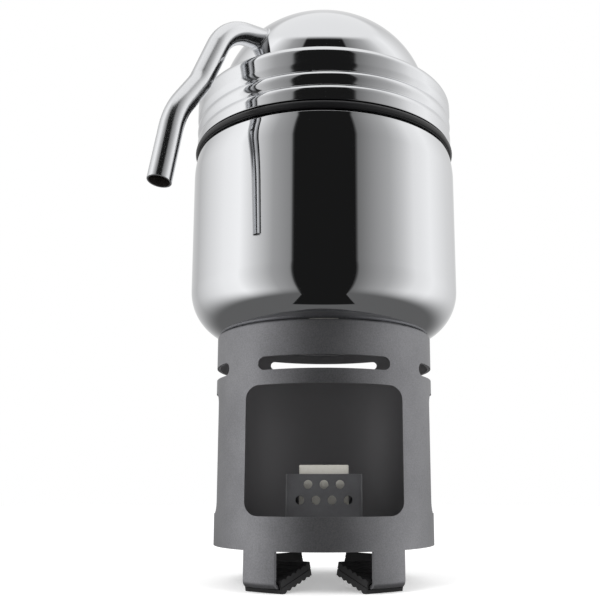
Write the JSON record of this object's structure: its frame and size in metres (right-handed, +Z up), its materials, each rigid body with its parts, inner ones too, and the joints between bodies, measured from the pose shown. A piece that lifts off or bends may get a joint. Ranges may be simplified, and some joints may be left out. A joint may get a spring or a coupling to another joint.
{
  "type": "solid fuel coffee maker",
  "caption": "Small camping coffee maker: a polished pot with a domed screw lid and bent spout tube on a round anodised stand with a window and a box for solid fuel.",
  "frame": {"origin": "on the table, under the middle of the object's box", "axes": "+Z up along the pot's axis, -Y towards the stand's window, the spout between -X and -Y"},
  "size_m": [0.0922, 0.1028, 0.191],
  "materials": {
    "anodised": "dark grey hard anodised, matte",
    "dark_sheet": "dark grey anodised, a little sooty",
    "polished": "mirror polished stainless steel",
    "steel": "bright stainless steel",
    "rubber": "moulded, matte",
    "silicone": "smooth, satin",
    "fuel": "pressed white fuel, chalky"
  },
  "bodies": {
    "stand": {"stand_shell": "anodised", "base_plate": "dark_sheet", "fuel_holder": "dark_sheet", "holder_rivet_left": "steel", "holder_rivet_right": "steel", "foot_front_left": "rubber", "foot_front_right": "rubber", "foot_back_left": "rubber", "foot_back_right": "rubber"},
    "tablet": {"fuel_tablet": "fuel"},
    "pot_body": {"pot": "polished", "seal_ring": "silicone"},
    "funnel": {"funnel_basket": "steel", "funnel_stem": "steel", "funnel_sieve": "steel"},
    "lid_insert": {"lid_gasket": "silicone", "lid_sieve": "steel"},
    "lid": {"lid_band": "polished", "lid_dome": "polished", "spout_tube": "polished"}
  },
  "joints": [
    {"name": "tablet_lift", "type": "slide", "parent": "stand", "child": "tablet", "axis": [0, 0, 1], "range_m": [0, 0.014]},
    {"name": "pot_lift", "type": "slide", "parent": "stand", "child": "pot_body", "axis": [0, 0, 1], "range_m": [0, 0.03]},
    {"name": "funnel_lift", "type": "slide", "parent": "pot_body", "child": "funnel", "axis": [0, 0, 1], "range_m": [0, 0.009]},
    {"name": "lid_rise", "type": "slide", "parent": "pot_body", "child": "lid_insert", "axis": [0, 0, 1], "range_m": [0, 0.009]},
    {"name": "lid_turn", "type": "hinge", "parent": "lid_insert", "child": "lid", "pos_m": [0.00214, 0.0074, 0.14176], "axis": [0, 0, 1], "range_deg": [0, 720]}
  ],
  "couplings": [
    {"joint": "lid_rise", "follows": "lid_turn", "m_per_rad": 0.00070028},
    {"joint": "funnel_lift", "follows": "lid_turn", "m_per_rad": 0.00070028}
  ]
}
